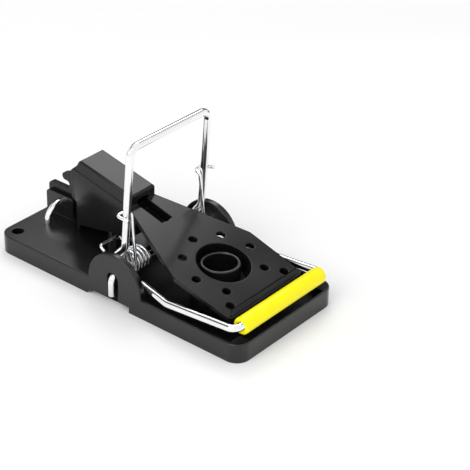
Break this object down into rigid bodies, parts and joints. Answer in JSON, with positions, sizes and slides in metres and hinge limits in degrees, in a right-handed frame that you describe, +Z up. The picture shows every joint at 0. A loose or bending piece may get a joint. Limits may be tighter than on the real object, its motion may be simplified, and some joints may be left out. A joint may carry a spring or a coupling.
{
  "type": "snap mouse trap",
  "caption": "Snap mouse trap with a shallow tray base, a sloping perforated treadle over a bait cup, a sprung wire striker and a sleeved grip bar.",
  "frame": {"origin": "middle of the base's underside", "axes": "+X forward to the grip bar, +Y across to the far side in the picture, +Z up"},
  "size_m": [0.098, 0.0488, 0.0527],
  "materials": {
    "black_plastic": "satin moulded",
    "steel": "bright plated wire",
    "yellow_plastic": "smooth tube"
  },
  "bodies": {
    "base": {"base": "black_plastic", "axle_rod": "steel", "treadle_pin": "steel", "spring_near": "steel", "spring_far": "steel"},
    "striker": {"striker_frame": "steel"},
    "sleeve": {"grip_sleeve": "yellow_plastic"},
    "treadle": {"treadle": "black_plastic"},
    "cup": {"bait_cup": "black_plastic"}
  },
  "joints": [
    {"name": "striker_swing", "type": "hinge", "parent": "base", "child": "striker", "pos_m": [0.00015, 0, 0.0102], "axis": [0, -1, 0], "range_deg": [0, 83.1], "stiffness_Nm_per_rad": 0.05, "springref_deg": -68.75, "deforming": ["spring_near", "spring_far"]},
    {"name": "treadle_tilt", "type": "hinge", "parent": "base", "child": "treadle", "pos_m": [-0.0413, 0, 0.0115], "axis": [0, -1, 0], "range_deg": [0, 4]},
    {"name": "sleeve_spin", "type": "hinge", "parent": "striker", "child": "sleeve", "pos_m": [0.0459, 0, 0.0104], "axis": [0, 1, 0], "continuous": true},
    {"name": "bait_cup_slide", "type": "slide", "parent": "base", "child": "cup", "axis": [0, 0, -1], "range_m": [0, 0.016]}
  ]
}
